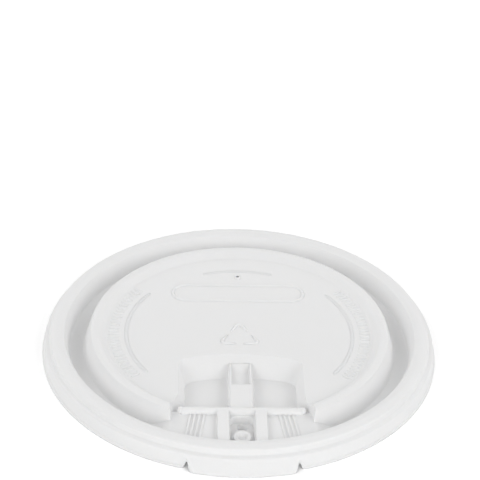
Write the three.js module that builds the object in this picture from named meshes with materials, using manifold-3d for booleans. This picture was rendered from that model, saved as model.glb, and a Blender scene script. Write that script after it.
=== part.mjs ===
// Flat lid for a hot-drink paper cup, thermoformed from one sheet of white polystyrene.
//
// It is made the way the real one is. A mould gives the shape of the sheet's upper face, the same mould set
// back by the wall gives its lower face, and a punch trims the outline with its pull lip.
//
// Millimetres, +Z up. The origin is on the lid's axis, in the plane that the trimmed flange stands on, and
// the pull lip points along -Y.

import * as THREE from 'three';
import { mergeVertices } from 'three/addons/utils/BufferGeometryUtils.js';
import Module from 'manifold-3d';

// Driving dimensions
const wall = 0.45; // thickness of the formed sheet
const segments = 76; // sides of every revolved face
const arcSteps = 2; // straight pieces in a rounded corner of the profile
const fineSteps = 4; // the same for an outline seen from above
const smallSegments = 20; // sides of the nub, the pit and the vent

// Rim: crown bead, shoulder, skirt and trimmed flange
const crownOuterR = 45.3; // holds the cup's rolled rim, and sets every other radius
const crownWidth = 3.95;
const crownTop = 5.75;
const crownInnerRound = 1.7;
const crownOuterRound = 1.3;
const waistZ = 3.95; // the crown's outer face ends on the shoulder here
const waistRound = 0.35;
const shoulderReach = 1.05; // the shoulder's edge beyond the crown's outer face
const shoulderDrop = 0.25; // fall of the shoulder from the waist to its edge
const shoulderRound = 0.8;
const skirtFlare = 0.2; // the skirt's foot beyond the shoulder's edge
const flangeWidth = 0.45;
const flangeRound = 0.5;

// Channel between the crown and the raised ring
const crownWallRun = 0.6; // how far the crown's inner wall leans in at the channel's floor
const channelWidth = 3.6;
const channelRound = 0.9;

// Raised ring and sunken panel
const ringWallRun = 1.65; // how far the ring's outer wall leans out at the channel's floor
const ringTop = 6;
const ringWidth = 2.15;
const ringRound = 0.8;
const panelWallRun = 1.45; // how far the ring's inner wall leans in at the panel
const panelZ = 4.6;
const panelRound = 0.9;

// Hinge bar across the mouth, and the tear tab's floor in front of it
const tabLength = 12.25; // from the bar's middle to the crown's inner face
const hingeWidth = 1.9;
const hingeHalfLength = 13.7;
const hingeTop = 4.5;
const tabFloorZ = 3.3;
const tabHalfWidth = 16.6;
const tabReach = 2.65; // the floor runs on this far inside the crown, out of sight
const tabRampRun = 4.8; // the floor's sides ramp down to the channel over this width

// Locking well and drinking bay: one drafted cut with an arched back wall and flared mouth
const wellLength = 20.8; // from the hinge bar's middle to the crest of the back wall on the panel
const wellBackBow = 2.5; // how far the back wall's ends lie in front of its crest
const wellHalfWidth = 14.45;
const wellCorner = 2.8;
const wellFloorZ = wall;
const wellBackRun = 4.4; // how far the back wall comes forward between the panel and the floor
const wellSideRun = 1.5; // the same for the side walls
const flareStart = 5.1; // the mouth begins to flare this far behind the hinge bar's middle
const flareEnd = 1.3; // and runs straight through the ring from this far in front of it
const flareHalfWidth = 16.2;
const flareRun = 0.5;
const bayReach = 1.45; // the bay opens into the channel this far beyond the ring's foot

// Pedestal in the well, with the shelf that the folded tab's crown lies on
const pedestalHalfWidth = 2.5;
const pedestalTop = 3.3;
const pedestalDraft = 0.7;
const shelfTop = 2;
const shelfStart = 10.5; // behind the hinge bar's middle
const shelfLength = 5.6; // the shelf slopes up into the back wall from its end
const shelfSide = 0.35; // width left standing either side of the shelf
const shelfBackRun = 2.6;

// Plug on the tab: two posts that grip the pedestal, and between them a sink with a dished nub
const postInnerX = 3;
const postOuterX = 5.6;
const postReach = 0.15; // the posts run this far into the crown's inner wall
const postTop = 4.4;
const postDraft = 0.3;
const sinkStart = 1.3; // in front of the hinge bar's middle
const sinkGap = 1.05; // between the sink's front and the crown's inner face
const sinkCorner = 1.7;
const sinkDraft = 0.35;
const sinkFloorZ = 1.5;
const pitPlace = 3.4; // from the hinge bar's middle to the pit's
const pitR = 1.3;
const pitFloorR = 0.85;
const pitFloorZ = wall;
const nubPlace = 8.3; // from the hinge bar's middle to the nub's
const nubR = 2.1;
const nubTop = 3.1;
const nubDraft = 0.6;
const dishR = 1.45;
const dishFloorR = 0.85;
const dishDepth = 0.9;

// Stiffening ribs on the tab, either side of the plug
const ribCount = 4;
const ribFirstX = 8.3;
const ribPitch = 1.05;
const ribWidth = 0.5;
const ribHeight = 0.25;
const ribGap = 2.35; // between the ribs' front ends and the crown's inner face
const ribSplay = 1.45; // how far a rib's front end lies outside its back end

// Pull lip: the skirt runs out into an apron, between two notches in the flange
const lipReach = 1; // beyond the flange
const lipHalfAngle = 14.3; // degrees either side of the lid's centre line
const lipCornerR = 1.6;
const apronTopZ = 2.7;
const apronReach = 1.8; // the apron starts this far inside the crown, out of sight
const notchAngle = 15.5;
const notchTop = 1.9;
const notchRootDepth = 0.35; // from the flange's edge
const notchWidth = 1.5;
const notchReach = 1.5; // the notches start this far inside the crown's outer face
const notchRootHalf = 0.3; // degrees either side of the notch's middle
const flangeEndAngle = 18; // the flange starts to draw in towards the notch here
const flangeEndDrawIn = 0.2;
const flangeEndSpan = 1.2; // degrees from the notch's middle to the flange's rounded end
const flangeEndRound = 0.6;

// Vent
const ventPlace = 8.5; // in from the panel's edge, at the back
const ventHoleR = 0.45;
const ventTopR = 0.55;
const ventFootR = 1.1;
const ventRise = 0.45;

// Limits of the mould blocks, well clear of the lid
const below = -3;
const above = 9;
const blankMargin = 4;
const overlap = 0.1; // how far one block reaches into the next

// Derived: the radii, inwards and outwards from the crown's outer face
const crownInnerR = crownOuterR - crownWidth;
const channelFloorOuterR = crownInnerR - crownWallRun;
const channelFloorInnerR = channelFloorOuterR - channelWidth;
const ringOuterR = channelFloorInnerR - ringWallRun;
const ringInnerR = ringOuterR - ringWidth;
const panelR = ringInnerR - panelWallRun;
const shoulderR = crownOuterR + shoulderReach;
const skirtFootR = shoulderR + skirtFlare;
const flangeR = skirtFootR + flangeWidth;
const notchRootR = flangeR - notchRootDepth;
const notchInnerR = crownOuterR - notchReach;
const lipR = flangeR + lipReach;
const bayReachR = channelFloorInnerR + bayReach;
const blankR = lipR + blankMargin;
const apronSlope = (lipR - shoulderR) / (apronTopZ - wall);

// Derived: the places along the lid, from the tab's hinge and the crown
const hingeY = tabLength - crownInnerR;
const wellBackY = hingeY + wellLength;
const flareStartY = hingeY + flareStart;
const flareEndY = hingeY - flareEnd;
const shelfFrontY = hingeY + shelfStart;
const shelfBackY = shelfFrontY + shelfLength;
const sinkBackY = hingeY - sinkStart;
const pitY = hingeY - pitPlace;
const nubY = hingeY - nubPlace;
const ribFrontY = ribGap - crownInnerR;
const sinkFrontY = sinkGap - crownInnerR;
const postFrontY = -postReach - crownInnerR;
const tabFrontY = -tabReach - crownInnerR;
const apronBackY = apronReach - crownOuterR;
const ventY = panelR - ventPlace;

// Fineness of two arcs seen from above
const arcSpan = 4; // the well's back wall has twice this many flats
const lipArcStep = 4; // the lip's edge takes one in so many of the flange's steps
const lipArcShare = 0.8; // of the lip's half angle, up to its rounded corners

const degrees = THREE.MathUtils.degToRad;
const wasm = await Module();
wasm.setup();

// A closed three.js geometry as a solid.
function solid(geometry) {
  const bare = geometry.index ? geometry.toNonIndexed() : geometry.clone();
  bare.deleteAttribute('normal');
  bare.deleteAttribute('uv');
  const merged = mergeVertices(bare, 1e-4);
  return new wasm.Manifold(new wasm.Mesh({
    numProp: 3,
    vertProperties: Float32Array.from(merged.attributes.position.array),
    triVerts: Uint32Array.from(merged.index.array),
  }));
}

// A solid as a three.js geometry.
function geometryOf(manifold) {
  const mesh = manifold.getMesh();
  const geometry = new THREE.BufferGeometry();
  geometry.setAttribute('position', new THREE.BufferAttribute(mesh.vertProperties, 3));
  geometry.setIndex(new THREE.BufferAttribute(mesh.triVerts, 1));
  geometry.computeVertexNormals();
  return geometry;
}

// Corners [x, y, radius] as a polyline in which each corner with a radius is an arc.
function roundedPath(corners, steps = arcSteps) {
  const points = [];
  corners.forEach(([x, y, radius = 0], i) => {
    const corner = new THREE.Vector2(x, y);
    if (radius === 0 || i === 0 || i === corners.length - 1) {
      points.push(corner);
      return;
    }
    const before = new THREE.Vector2(...corners[i - 1].slice(0, 2)).sub(corner);
    const after = new THREE.Vector2(...corners[i + 1].slice(0, 2)).sub(corner);
    before.normalize();
    after.normalize();
    const half = Math.acos(THREE.MathUtils.clamp(before.dot(after), -1, 1)) / 2;
    const reach = radius / Math.tan(half);
    const inward = before.clone().add(after).normalize();
    const centre = inward.multiplyScalar(radius / Math.sin(half)).add(corner);
    const start = before.multiplyScalar(reach).add(corner).sub(centre);
    const end = after.multiplyScalar(reach).add(corner).sub(centre);
    const sweep = Math.atan2(start.cross(end), start.dot(end));
    for (let k = 0; k <= steps; k++) {
      points.push(start.clone().rotateAround(new THREE.Vector2(), sweep * k / steps).add(centre));
    }
  });
  return points;
}

// A polyline moved sideways, to its right seen along its run.
function offsetPath(points, distance) {
  return points.map((point, i) => {
    const along = [];
    if (i > 0) along.push(point.clone().sub(points[i - 1]).normalize());
    if (i < points.length - 1) along.push(points[i + 1].clone().sub(point).normalize());
    const normals = along.map((v) => new THREE.Vector2(v.y, -v.x));
    const mean = normals.reduce((sum, n) => sum.add(n), new THREE.Vector2()).normalize();
    return point.clone().addScaledVector(mean, distance / mean.dot(normals[0]));
  });
}

// A block between two heights, whose foot is outline(foot) and whose head is outline(head).
function draftedBlock(outline, bottom, top, foot, head) {
  const low = outline(foot);
  const high = outline(head);
  const depth = top - bottom;
  const geometry = new THREE.ExtrudeGeometry(new THREE.Shape(low), { depth, steps: 1, bevelEnabled: false });
  const position = geometry.attributes.position;
  for (let i = 0; i < position.count; i++) {
    const z = position.getZ(i);
    if (z > 0) {
      const at = nearest(low, position.getX(i), position.getY(i));
      position.setXY(i, high[at].x, high[at].y);
    }
    position.setZ(i, z + bottom);
  }
  return solid(geometry);
}

// Index of the point nearest to a place.
function nearest(points, x, y) {
  const distances = points.map((p) => Math.hypot(p.x - x, p.y - y));
  return distances.indexOf(Math.min(...distances));
}

// A shape seen from above, as a block that reaches through the whole height.
function through(shape) {
  return solid(new THREE.ExtrudeGeometry(shape, { depth: above - below, bevelEnabled: false })
    .translate(0, 0, below));
}

// A cylinder through the whole height, or between two heights, round the point (0, y).
function disc(radius, y = 0, bottom = below, top = above, sides = segments, footRadius = radius) {
  return solid(new THREE.CylinderGeometry(radius, footRadius, top - bottom, sides)
    .rotateX(Math.PI / 2).translate(0, y, (top + bottom) / 2));
}

// Four corners of a rectangle, anticlockwise, grown by an amount.
function rectangle(x0, x1, y0, y1, grow) {
  return [
    new THREE.Vector2(x0 - grow, y0 - grow),
    new THREE.Vector2(x1 + grow, y0 - grow),
    new THREE.Vector2(x1 + grow, y1 + grow),
    new THREE.Vector2(x0 - grow, y1 + grow),
  ];
}

// The revolved part of the mould, whose upper face is the sheet's, set back by inset.
function revolvedMould(inset) {
  const face = roundedPath([
    [0, panelZ],
    [panelR, panelZ, panelRound],
    [ringInnerR, ringTop, ringRound],
    [ringOuterR, ringTop, ringRound],
    [channelFloorInnerR, wellFloorZ, channelRound],
    [channelFloorOuterR, wellFloorZ, channelRound],
    [crownInnerR, crownTop, crownInnerRound],
    [crownOuterR, crownTop, crownOuterRound],
    [crownOuterR, waistZ, waistRound],
    [shoulderR, waistZ - shoulderDrop, shoulderRound],
    [skirtFootR, wall, flangeRound],
    [blankR, wall],
  ]);
  const profile = offsetPath(face, inset).reverse();
  return solid(new THREE.LatheGeometry([
    new THREE.Vector2(0, below),
    new THREE.Vector2(blankR, below),
    ...profile.slice(0, -1),
    new THREE.Vector2(0, panelZ - inset),
  ], segments).rotateX(Math.PI / 2));
}

// Outline of the cut for the well and the bay, grown by an amount. Share is 0 at the floor, 1 at the panel.
function wellOutline(grow, share) {
  const run = 1 - share;
  const half = wellHalfWidth - wellSideRun * run + grow;
  const mouth = flareHalfWidth - flareRun * run + grow;
  const crest = wellBackY - wellBackRun * run + grow;
  const arcR = (wellHalfWidth ** 2 + wellBackBow ** 2) / (2 * wellBackBow);
  const back = [];
  for (let k = -arcSpan; k <= arcSpan; k++) {
    const x = -half * k / arcSpan;
    const radius = Math.abs(k) === arcSpan ? wellCorner : 0;
    back.push([x, crest - arcR + Math.sqrt(arcR * arcR - x * x), radius]);
  }
  return roundedPath([
    [mouth, flareEndY],
    [half, flareStartY],
    ...back,
    [-half, flareStartY],
    [-mouth, flareEndY],
    [-mouth, -blankR],
    [mouth, -blankR],
  ], fineSteps);
}

// The well and the bay as one cut that widens upwards.
function wellCut(inset) {
  const drop = panelZ - wellFloorZ;
  const outline = (share) => wellOutline(inset, share);
  const block = draftedBlock(outline, wellFloorZ - inset, above, 0, (above - wellFloorZ) / drop);
  return block.intersect(disc(bayReachR));
}

// The tab's floor: a plateau that crosses the channel as far as the crown, with ramps down to the channel.
function tabFloor(inset) {
  const rampShare = (tabFloorZ - inset - below) / (tabFloorZ - wellFloorZ);
  const outline = (run) => {
    const half = tabHalfWidth + run;
    return [
      new THREE.Vector2(-half - inset, tabFrontY),
      new THREE.Vector2(half + inset, tabFrontY),
      new THREE.Vector2(half + inset, hingeY - inset),
      new THREE.Vector2(-half - inset, hingeY - inset),
    ];
  };
  return draftedBlock(outline, below, tabFloorZ - inset, tabRampRun * rampShare - 2 * inset, -2 * inset)
    .intersect(disc(crownInnerR));
}

// The raised features of the mould from here on each shrink sideways and drop by the inset.
// The round-topped bar that the tab folds back over.
function hingeBar(inset) {
  const half = hingeWidth / 2 - inset;
  const round = Math.max(half, 0.1);
  const section = new THREE.Shape();
  section.moveTo(-half, below);
  section.lineTo(half, below);
  section.lineTo(half, hingeTop - inset - round);
  section.absellipse(0, hingeTop - inset - round, half, round, 0, Math.PI, false);
  const depth = 2 * (hingeHalfLength - inset);
  return solid(new THREE.ExtrudeGeometry(section, { depth, bevelEnabled: false, curveSegments: fineSteps })
    .rotateX(Math.PI / 2).rotateZ(Math.PI / 2).translate(-depth / 2, hingeY, 0));
}

// The pedestal that the tab's posts grip, with its shelf.
function pedestal(inset) {
  const back = wellBackY - wellBackRun / 2;
  const outline = (grow) => rectangle(-pedestalHalfWidth, pedestalHalfWidth, hingeY, back, grow - inset);
  const block = draftedBlock(outline, wellFloorZ - 2 * wall - inset, pedestalTop - inset, pedestalDraft, 0);
  const half = pedestalHalfWidth - shelfSide;
  const rise = (above - shelfTop) / (pedestalTop - shelfTop);
  const shelf = (share) => rectangle(-half, half, shelfFrontY, shelfBackY + shelfBackRun * share, inset);
  return block.subtract(draftedBlock(shelf, shelfTop - inset, above, 0, rise));
}

// One of the two posts on the tab.
function post(side, inset) {
  const x = [postInnerX, postOuterX].map((v) => side * v).sort((a, b) => a - b);
  const outline = (grow) => rectangle(x[0], x[1], postFrontY, hingeY, grow - inset);
  return draftedBlock(outline, wellFloorZ - 2 * wall, postTop - inset, postDraft, 0);
}

// The sink between the posts, with a pit behind the nub.
function sink(inset) {
  const outline = (grow) => {
    const g = grow + inset;
    return roundedPath([
      [0, sinkFrontY - g],
      [postInnerX + g, sinkFrontY - g],
      [postInnerX + g, sinkBackY + g, sinkCorner],
      [-postInnerX - g, sinkBackY + g, sinkCorner],
      [-postInnerX - g, sinkFrontY - g],
    ], fineSteps);
  };
  const floor = sinkFloorZ - inset;
  const pit = disc(pitR + inset, pitY, pitFloorZ - inset, floor + overlap, smallSegments, pitFloorR + inset);
  return draftedBlock(outline, floor, above, -sinkDraft, sinkDraft / 2).add(pit);
}

// The dished nub in the sink.
function nub(inset) {
  const top = nubTop - inset;
  const topR = nubR - inset;
  return solid(new THREE.LatheGeometry([
    new THREE.Vector2(0, below),
    new THREE.Vector2(topR + nubDraft, below),
    new THREE.Vector2(topR, top),
    new THREE.Vector2(Math.min(dishR + inset, topR - overlap), top),
    new THREE.Vector2(dishFloorR, top - dishDepth),
    new THREE.Vector2(0, top - dishDepth),
  ], smallSegments).rotateX(Math.PI / 2).translate(0, nubY, 0));
}

// A stiffening rib, solid and rooted in the sheet, which splays outwards to the front.
function rib(side, index) {
  const x = ribFirstX + index * ribPitch;
  const half = ribWidth / 2;
  const outline = () => [
    new THREE.Vector2(side * (x + ribSplay) - half, ribFrontY),
    new THREE.Vector2(side * (x + ribSplay) + half, ribFrontY),
    new THREE.Vector2(side * x + half, hingeY),
    new THREE.Vector2(side * x - half, hingeY),
  ];
  return draftedBlock(outline, tabFloorZ - wall / 2, tabFloorZ + ribHeight);
}

// The apron that the pull lip's skirt runs out into: a cone, within the sector between the notches.
function apron(inset) {
  const cone = solid(new THREE.LatheGeometry([
    new THREE.Vector2(0, below),
    new THREE.Vector2(lipR + apronSlope * (wall - below) - inset, below),
    new THREE.Vector2(shoulderR - inset, apronTopZ - inset),
    new THREE.Vector2(0, apronTopZ - inset),
  ], segments * 2).rotateX(Math.PI / 2));
  const spread = Math.tan(degrees(notchAngle));
  const sector = new THREE.Shape([
    new THREE.Vector2(apronBackY * spread, apronBackY),
    new THREE.Vector2(-blankR * spread, -blankR),
    new THREE.Vector2(blankR * spread, -blankR),
    new THREE.Vector2(-apronBackY * spread, apronBackY),
  ]);
  return cone.intersect(through(sector));
}

// The low cone that the vent is pierced through.
function ventRising(inset) {
  const top = panelZ + ventRise - inset;
  return disc(ventTopR, ventY, top - ventRise - wall, top, smallSegments, ventFootR - inset / 2);
}

// The whole mould, with its upper face set back by inset.
function mould(inset) {
  let block = revolvedMould(inset).subtract(wellCut(inset));
  block = block.add(tabFloor(inset)).add(pedestal(inset)).add(hingeBar(inset)).add(apron(inset));
  for (const side of [-1, 1]) {
    block = block.add(post(side, inset));
  }
  return block.subtract(sink(inset)).add(nub(inset)).add(ventRising(inset));
}

// The trimmed outline: a circle that draws in towards the notches, with the pull lip between them.
function trimPunch() {
  const at = (r, angle, round = 0) => {
    const turn = degrees(angle - 90);
    return [r * Math.cos(turn), r * Math.sin(turn), round];
  };
  const arc = (r, start, end) => {
    const points = [];
    for (let k = 0; k <= segments; k++) points.push(at(r, start + (end - start) * k / segments));
    return points;
  };
  const lipStraight = lipHalfAngle * lipArcShare;
  const side = (sign) => [
    at(flangeR - flangeEndDrawIn, sign * (notchAngle + flangeEndSpan), flangeEndRound),
    at(notchRootR, sign * (notchAngle + notchRootHalf)),
    at(notchRootR, sign * (notchAngle - notchRootHalf)),
    at(lipR, sign * lipHalfAngle, lipCornerR),
  ];
  return through(new THREE.Shape(roundedPath([
    ...arc(flangeR, flangeEndAngle, 360 - flangeEndAngle),
    ...side(-1),
    ...arc(lipR, -lipStraight, lipStraight).filter((_, k) => k % lipArcStep === 0),
    ...side(1).reverse(),
  ], fineSteps)));
}

// A pointed notch up through the skirt, beside the pull lip.
function notch(side) {
  const half = notchWidth / 2;
  const point = new THREE.Shape([
    new THREE.Vector2(-half, 0),
    new THREE.Vector2(-half, below),
    new THREE.Vector2(half, below),
    new THREE.Vector2(half, 0),
    new THREE.Vector2(0, notchTop),
  ]);
  return solid(new THREE.ExtrudeGeometry(point, { depth: blankR - notchInnerR, bevelEnabled: false })
    .rotateX(Math.PI / 2).translate(0, -notchInnerR, 0).rotateZ(degrees(side * notchAngle)));
}

// Both faces of the sheet, the stiffening ribs, and the cuts that a punch makes.
let sheet = mould(0).subtract(mould(wall));
for (const side of [-1, 1]) {
  for (let i = 0; i < ribCount; i++) sheet = sheet.add(rib(side, i));
}
sheet = sheet.intersect(trimPunch()).subtract(notch(-1)).subtract(notch(1));
sheet = sheet.subtract(disc(ventHoleR, ventY, below, above, smallSegments));

const lid = new THREE.Mesh(geometryOf(sheet), new THREE.MeshStandardMaterial({
  name: 'white_polystyrene',
  color: new THREE.Color(0.9, 0.9, 0.9),
  roughness: 0.35,
  metalness: 0,
}));
lid.name = 'lid';

const root = new THREE.Group();
root.add(lid);

export default root;
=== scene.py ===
"""A thermoformed coffee cup lid of white polystyrene, lying on a white studio floor."""
import bpy, math
from mathutils import Matrix, Vector


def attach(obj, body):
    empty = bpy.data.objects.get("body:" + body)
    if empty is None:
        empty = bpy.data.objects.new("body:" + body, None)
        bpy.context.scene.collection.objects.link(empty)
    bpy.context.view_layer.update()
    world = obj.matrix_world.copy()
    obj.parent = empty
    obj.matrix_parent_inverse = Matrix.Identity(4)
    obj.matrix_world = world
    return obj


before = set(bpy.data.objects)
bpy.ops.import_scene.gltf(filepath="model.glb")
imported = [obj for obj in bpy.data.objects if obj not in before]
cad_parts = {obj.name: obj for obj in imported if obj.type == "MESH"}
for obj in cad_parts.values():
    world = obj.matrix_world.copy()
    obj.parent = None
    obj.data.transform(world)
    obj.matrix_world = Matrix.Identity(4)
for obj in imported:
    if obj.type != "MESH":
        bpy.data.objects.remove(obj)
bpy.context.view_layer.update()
MM = 0.001

# Camera, found from the flange's and the crown's ellipses in the photograph
PHOTO_PX = 480
SENSOR_WIDTH = 36  # in the camera's own millimetres
ELEVATION = math.radians(36.114)
YAW = math.radians(2.35)  # the camera stands this far to the left of the pull lip
ROLL = math.radians(2.011)
DISTANCE = 450 * MM
FOCAL_PX = 1869.2
ORIGIN_PX = (238.82, 348.16)  # where the lid's origin shows in the photograph

# Studio
FLOOR_SIZE = 1.4
FLOOR_DROP = 0.02 * MM  # keeps the floor clear of the flange's underside
FLOOR_WHITE = 0.93
FLOOR_ROUGHNESS = 0.9
FLOOR_SPECULAR = 0.1
FLOOR_GLOW = 0.2  # added to the floor as the camera and reflections see it
WORLD_STRENGTH = 0.50
LAMP_DISTANCE = 0.9
LAMP_SIZE = 0.5
LAMPS = [  # name, degrees round from the front to the right, degrees up, power in watts
    ("front_left", -36, 29, 2.5),
    ("front_right", 42, 29, 2.7),
    ("back_left", -138, 30, 1.8),
    ("back_right", 138, 30, 1.6),
]

# Sheet
WHITE = 0.8
BLOOM = 0.015  # how far the white varies either way in the fine grain
ROUGHNESS = (0.46, 0.58)  # from the waves' hollows to their crests
IOR = 1.5
SPECULAR = 0.3
TRANSLUCENCY = 0.6
LIGHT_REACH = 0.25 * MM  # how far light spreads inside the sheet
REACH_SHARES = (1.0, 0.97, 0.92)  # of that reach, for red, green and blue
WAVES = {"Scale": 150.0, "Detail": 2.0, "Roughness": 0.45}  # a noise's scale is its cells in each metre
WAVE_STRENGTH = 0.4
WAVE_HEIGHT = 0.3 * MM
GRAIN = {"Scale": 2400.0, "Detail": 3.0, "Roughness": 0.6}
GRAIN_STRENGTH = 0.1
GRAIN_HEIGHT = 0.03 * MM
EDGE_ROUND = 0.34 * MM
EDGE_SAMPLES = 8
SHARP_ANGLE = math.radians(36)  # an edge that turns less than this is shaded smooth
WELD = 0.002 * MM  # corners closer than this are joined before the shading

# Marks moulded into the panel
PANEL_Z = 4.6 * MM  # the panel's upper face
MARK_ROOT = 0.05 * MM  # how deep a mark is rooted in the panel
SECTION_STEPS = 6
END_SHARE = 0.35  # an open ridge tapers to this share of its width and rise
SIDE_SPAN = math.radians(37)  # the side marks reach at most this far either way from the X axis
TICK_RADII = (28.7 * MM, 31.2 * MM)
TICK_PITCH = math.radians(2.35)
TICK_WIDTH = 0.62 * MM
TICK_RISE = 0.2 * MM
TICK_STEPS = 6
SIDE_ARC_RADIUS = 27.0 * MM
BACK_ARC_RADIUS = 26.2 * MM
BACK_ARC_SPAN = math.radians(19)
ARC_WIDTH = 0.9 * MM
ARC_RISE = 0.05 * MM
ARC_STEPS = 60
OVAL_CENTRE = (0.0, 16.6 * MM)
OVAL_HALF = (16.0 * MM, 3.3 * MM)
OVAL_WIDTH = 0.9 * MM
OVAL_RISE = 0.38 * MM
OVAL_STEPS = 16
TRIANGLE_CENTRE = Vector((0.0, -1.7 * MM))
TRIANGLE_REACH = 5.6 * MM  # from its centre to where its corners would be
TRIANGLE_CORNER = 0.95 * MM
TRIANGLE_GAP = 0.16  # share of each side that is left open
TRIANGLE_WIDTH = 0.9 * MM
TRIANGLE_RISE = 0.42 * MM
TRIANGLE_STEPS = 8

# Beads at the hinge bar's ends
BAR_END = (13.75 * MM, -29.1 * MM, 3.75 * MM)  # centre of the right one
BAR_END_RADIUS = 0.85 * MM
BAR_END_RINGS = 10
BAR_END_SIDES = 20


class Tree:
    """A node tree, with short calls for the nodes that a pattern needs."""

    def __init__(self, node_tree):
        self.nodes, self.links = node_tree.nodes, node_tree.links

    def add(self, kind, **inputs):
        node = self.nodes.new(kind)
        for name, value in inputs.items():
            self.feed(node.inputs[name.replace("_", " ")], value)
        return node

    def feed(self, socket, value):
        if isinstance(value, bpy.types.NodeSocket):
            self.links.new(value, socket)
        else:
            socket.default_value = value

    def math(self, operation, a, b):
        node = self.nodes.new("ShaderNodeMath")
        node.operation = operation
        self.feed(node.inputs[0], a)
        self.feed(node.inputs[1], b)
        return node.outputs[0]

    def between(self, value, low, high):
        """A value from 0 to 1, spread from low to high."""
        node = self.add("ShaderNodeMapRange", Value=value)
        node.inputs["To Min"].default_value = low
        node.inputs["To Max"].default_value = high
        return node.outputs["Result"]

    def noise(self, place, pattern):
        """A value from 0 to 1 that wanders from place to place."""
        return self.add("ShaderNodeTexNoise", Vector=place, **pattern).outputs["Fac"]

    def shown(self):
        """1 for what the camera, a reflection or a see-through surface shows, 0 for what lights the lid."""
        rays = self.add("ShaderNodeLightPath").outputs
        seen = self.math("MAXIMUM", rays["Is Camera Ray"], rays["Is Glossy Ray"])
        return self.math("MAXIMUM", seen, rays["Is Transmission Ray"])


def material(name):
    """A new material, its node tree and its shader."""
    made = bpy.data.materials.new(name)
    made.use_nodes = True
    tree = Tree(made.node_tree)
    return made, tree, tree.nodes["Principled BSDF"]


def polystyrene(name, edge_round):
    """White, faintly translucent sheet with a satin gloss, slight waves from forming and a fine bloom."""
    made, tree, shader = material(name)
    place = tree.add("ShaderNodeTexCoord").outputs["Object"]
    waves = tree.noise(place, WAVES)
    grain = tree.noise(place, GRAIN)
    soft = tree.add("ShaderNodeBump", Strength=WAVE_STRENGTH, Distance=WAVE_HEIGHT, Height=waves)
    if edge_round:
        edges = tree.add("ShaderNodeBevel", Radius=edge_round)
        edges.samples = EDGE_SAMPLES
        tree.feed(soft.inputs["Normal"], edges.outputs["Normal"])
    fine = tree.add("ShaderNodeBump", Strength=GRAIN_STRENGTH, Distance=GRAIN_HEIGHT, Height=grain,
                    Normal=soft.outputs["Normal"])
    shade = tree.between(grain, WHITE - BLOOM, WHITE + BLOOM)
    colour = tree.add("ShaderNodeCombineColor", Red=shade, Green=shade, Blue=shade)
    tree.feed(shader.inputs["Base Color"], colour.outputs["Color"])
    tree.feed(shader.inputs["Roughness"], tree.between(waves, *ROUGHNESS))
    tree.feed(shader.inputs["Normal"], fine.outputs["Normal"])
    shader.inputs["IOR"].default_value = IOR
    shader.inputs["Specular IOR Level"].default_value = SPECULAR
    shader.inputs["Subsurface Weight"].default_value = TRANSLUCENCY
    shader.inputs["Subsurface Radius"].default_value = REACH_SHARES
    shader.inputs["Subsurface Scale"].default_value = LIGHT_REACH
    return made


def link(name, data):
    """A new object in the scene, for a mesh, a lamp or a camera."""
    made = bpy.data.objects.new(name, data)
    bpy.context.scene.collection.objects.link(made)
    return made


def camera():
    """The photograph's camera, turned until the lid's origin falls on its pixel."""
    data = bpy.data.cameras.new("camera")
    data.sensor_width = SENSOR_WIDTH
    data.lens = FOCAL_PX / PHOTO_PX * SENSOR_WIDTH
    cam = link("camera", data)
    level = math.cos(ELEVATION)
    back = Vector((-level * math.sin(YAW), -level * math.cos(YAW), math.sin(ELEVATION)))
    right = Vector((0, 0, 1)).cross(back).normalized()
    up = back.cross(right)
    turn = Matrix((right, up, back)).transposed()
    roll = Matrix.Rotation(ROLL, 3, "Z")
    across = (ORIGIN_PX[0] - PHOTO_PX / 2) / FOCAL_PX
    down = (ORIGIN_PX[1] - PHOTO_PX / 2) / FOCAL_PX
    tilt = Vector((across, -down, -1)).rotation_difference(Vector((0, 0, -1))).to_matrix()
    cam.matrix_world = Matrix.Translation(back * DISTANCE) @ (turn @ roll @ tilt).to_4x4()
    bpy.context.scene.camera = cam


def mesh_object(name, vertices, faces, surface):
    """A smooth-shaded object of one material."""
    mesh = bpy.data.meshes.new(name)
    mesh.from_pydata(vertices, [], faces)
    mesh.polygons.foreach_set("use_smooth", [True] * len(faces))
    mesh.materials.append(surface)
    return link(name, mesh)


def floor():
    """A plain white floor that keeps the lid's shadow."""
    made, tree, shader = material("floor")
    shader.inputs["Base Color"].default_value = (FLOOR_WHITE, FLOOR_WHITE, FLOOR_WHITE, 1)
    shader.inputs["Roughness"].default_value = FLOOR_ROUGHNESS
    shader.inputs["Specular IOR Level"].default_value = FLOOR_SPECULAR
    shader.inputs["Emission Color"].default_value = (1, 1, 1, 1)
    tree.feed(shader.inputs["Emission Strength"], tree.between(tree.shown(), 0, FLOOR_GLOW))
    half, z = FLOOR_SIZE / 2, -FLOOR_DROP
    mesh_object("floor", [(-half, -half, z), (half, -half, z), (half, half, z), (-half, half, z)],
                         [(0, 1, 2, 3)], made)


def lights():
    """Soft boxes low on the diagonals, stronger in front, and a plain white world."""
    world = bpy.data.worlds.new("studio")
    world.use_nodes = True
    tree = Tree(world.node_tree)
    background = tree.nodes["Background"]
    background.inputs["Color"].default_value = (1, 1, 1, 1)
    tree.feed(background.inputs["Strength"], tree.between(tree.shown(), WORLD_STRENGTH, 1.0))
    bpy.context.scene.world = world
    for name, round_by, up_by, power in LAMPS:
        azimuth, elevation = math.radians(round_by), math.radians(up_by)
        level = math.cos(elevation)
        towards = Vector((level * math.sin(azimuth), -level * math.cos(azimuth), math.sin(elevation)))
        box = bpy.data.lights.new(name, "AREA")
        box.size, box.energy = LAMP_SIZE, power
        lamp = link(name, box)
        lamp.location = towards * LAMP_DISTANCE
        lamp.rotation_euler = towards.to_track_quat("Z", "Y").to_euler()


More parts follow.
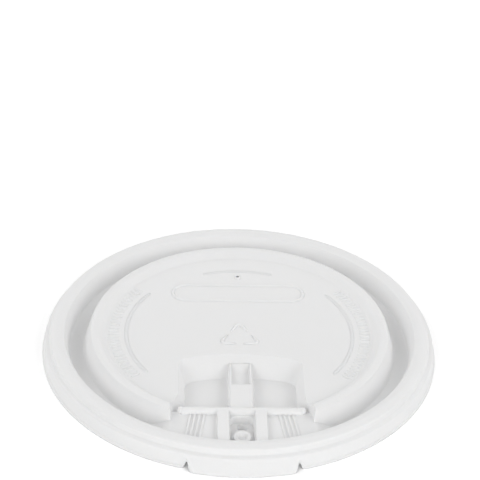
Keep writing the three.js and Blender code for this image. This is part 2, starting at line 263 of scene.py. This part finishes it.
def smooth_shading(lid):
    """Smooth normals over the rounded faces, with the true corners kept sharp."""
    group = bpy.data.node_groups.new("smooth_by_angle", "GeometryNodeTree")
    group.interface.new_socket("Geometry", in_out="INPUT", socket_type="NodeSocketGeometry")
    group.interface.new_socket("Geometry", in_out="OUTPUT", socket_type="NodeSocketGeometry")
    tree = Tree(group)
    start, end = tree.add("NodeGroupInput"), tree.add("NodeGroupOutput")
    weld = tree.add("GeometryNodeMergeByDistance", Geometry=start.outputs[0], Distance=WELD)
    faces = tree.add("GeometryNodeSetShadeSmooth", Geometry=weld.outputs["Geometry"])
    angle = tree.add("GeometryNodeInputMeshEdgeAngle").outputs["Unsigned Angle"]
    flat = tree.add("FunctionNodeCompare", A=angle, B=SHARP_ANGLE)
    flat.operation = "LESS_THAN"
    edges = tree.add("GeometryNodeSetShadeSmooth", Geometry=faces.outputs["Geometry"])
    edges.domain = "EDGE"
    tree.feed(edges.inputs["Shade Smooth"], flat.outputs["Result"])
    tree.feed(end.inputs[0], edges.outputs["Geometry"])
    lid.modifiers.new("smooth_by_angle", "NODES").node_group = group


def bead(path, width, rise, closed, vertices, faces):
    """Adds a closed ridge to a mesh: it runs along a path on the panel and has a bell-shaped section."""
    first, count = len(vertices), len(path)
    for i, point in enumerate(path):
        after = path[(i + 1) % count] if closed or i < count - 1 else point
        before = path[i - 1] if closed or i > 0 else point
        along = (Vector(after) - Vector(before)).normalized()
        side = Vector((-along.y, along.x))
        ending = END_SHARE if not closed and i in (0, count - 1) else 1.0
        for k in range(SECTION_STEPS + 1):
            share = 2 * k / SECTION_STEPS - 1
            x, y = Vector(point) + side * (share * width / 2 * ending)
            vertices.append((x, y, PANEL_Z + ending * rise * math.cos(share * math.pi / 2) ** 2))
        for share in (1, -1):
            x, y = Vector(point) + side * (share * width / 2 * ending)
            vertices.append((x, y, PANEL_Z - MARK_ROOT))
    ring = SECTION_STEPS + 3
    for i in range(count if closed else count - 1):
        a, b = first + i * ring, first + (i + 1) % count * ring
        for k in range(ring):
            n = (k + 1) % ring
            faces.append((a + k, b + k, b + n, a + n))
    if not closed:
        faces.append(tuple(first + k for k in range(ring)))
        faces.append(tuple(first + (count - 1) * ring + k for k in reversed(range(ring))))


def arc(centre, radius, start, end, steps):
    """Points round part of a circle."""
    return [(centre[0] + radius * math.cos(start + (end - start) * k / steps),
             centre[1] + radius * math.sin(start + (end - start) * k / steps)) for k in range(steps + 1)]


def side_ticks(vertices, faces):
    """A row of short radial ridges at either side of the panel."""
    reach = int(SIDE_SPAN / TICK_PITCH)
    inner, outer = TICK_RADII
    radii = [inner + (outer - inner) * k / TICK_STEPS for k in range(TICK_STEPS + 1)]
    for middle in (0, math.pi):
        for i in range(-reach, reach + 1):
            turn = middle + i * TICK_PITCH
            bead([(r * math.cos(turn), r * math.sin(turn)) for r in radii],
                 TICK_WIDTH, TICK_RISE, False, vertices, faces)


def faint_arcs(vertices, faces):
    """A faint arc inside each row of ticks, and one behind the vent."""
    arcs = [(SIDE_ARC_RADIUS, 0, SIDE_SPAN), (SIDE_ARC_RADIUS, math.pi, SIDE_SPAN),
            (BACK_ARC_RADIUS, math.pi / 2, BACK_ARC_SPAN)]
    for radius, middle, span in arcs:
        path = arc((0, 0), radius, middle - span, middle + span, ARC_STEPS)
        bead(path, ARC_WIDTH, ARC_RISE, False, vertices, faces)


def oval(vertices, faces):
    """A plain raised oval between the vent and the middle of the panel."""
    (x, y), (half, end) = OVAL_CENTRE, OVAL_HALF
    path = arc((x + half - end, y), end, -math.pi / 2, math.pi / 2, OVAL_STEPS)
    path += arc((x - half + end, y), end, math.pi / 2, 3 * math.pi / 2, OVAL_STEPS)
    bead(path, OVAL_WIDTH, OVAL_RISE, True, vertices, faces)


def triangle(vertices, faces):
    """A raised triangle of three bent bars, open in the middle of each side."""
    turns = [math.radians(90 + 120 * k) for k in range(3)]
    corners = [TRIANGLE_CENTRE + TRIANGLE_REACH * Vector((math.cos(a), math.sin(a))) for a in turns]
    for i, corner in enumerate(corners):
        ahead, behind = (corners[(i + 1) % 3] - corner) / 2, (corners[i - 1] - corner) / 2
        inward = (ahead + behind).normalized()
        centre = corner + inward * 2 * TRIANGLE_CORNER
        facing = math.atan2(-inward.y, -inward.x)
        bend = arc(centre, TRIANGLE_CORNER, facing - math.pi / 3, facing + math.pi / 3, TRIANGLE_STEPS)
        start, end = corner + behind * (1 - TRIANGLE_GAP), corner + ahead * (1 - TRIANGLE_GAP)
        bead([tuple(start), *bend, tuple(end)], TRIANGLE_WIDTH, TRIANGLE_RISE, False, vertices, faces)


def bar_ends(vertices, faces):
    """The round bead at either end of the hinge bar."""
    x, y, z = BAR_END
    radius, rings, sides = BAR_END_RADIUS, BAR_END_RINGS, BAR_END_SIDES
    for side in (-1, 1):
        first = len(vertices)
        vertices.append((side * x, y, z - radius))
        for i in range(1, rings):
            up = math.pi * i / rings - math.pi / 2
            level = radius * math.cos(up)
            for k in range(sides):
                turn = 2 * math.pi * k / sides
                vertices.append((side * x + level * math.cos(turn), y + level * math.sin(turn),
                                 z + radius * math.sin(up)))
        vertices.append((side * x, y, z + radius))
        last = len(vertices) - 1
        for k in range(sides):
            n = (k + 1) % sides
            faces.append((first, first + 1 + n, first + 1 + k))
            for i in range(rings - 2):
                a = first + 1 + i * sides
                faces.append((a + k, a + n, a + sides + n, a + sides + k))
            faces.append((last, last - sides + k, last - sides + n))


def raised_details(surface):
    """The panel's marks and the bar's ends: one piece for each kind, rooted in the sheet."""
    kinds = [("side_ticks", side_ticks), ("faint_arcs", faint_arcs), ("oval", oval), ("triangle", triangle),
             ("bar_ends", bar_ends)]
    for name, draw in kinds:
        vertices, faces = [], []
        draw(vertices, faces)
        piece = mesh_object(name, vertices, faces, surface)
        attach(piece, "root")


bpy.context.scene.view_settings.view_transform = "Standard"
camera()
floor()
lights()
lid = bpy.data.objects["lid"]
lid.material_slots[0].material = polystyrene("white_polystyrene", EDGE_ROUND)
smooth_shading(lid)
# The small details go without the edge rounding, which draws dark lines round them
raised_details(polystyrene("white_polystyrene_marks", 0))
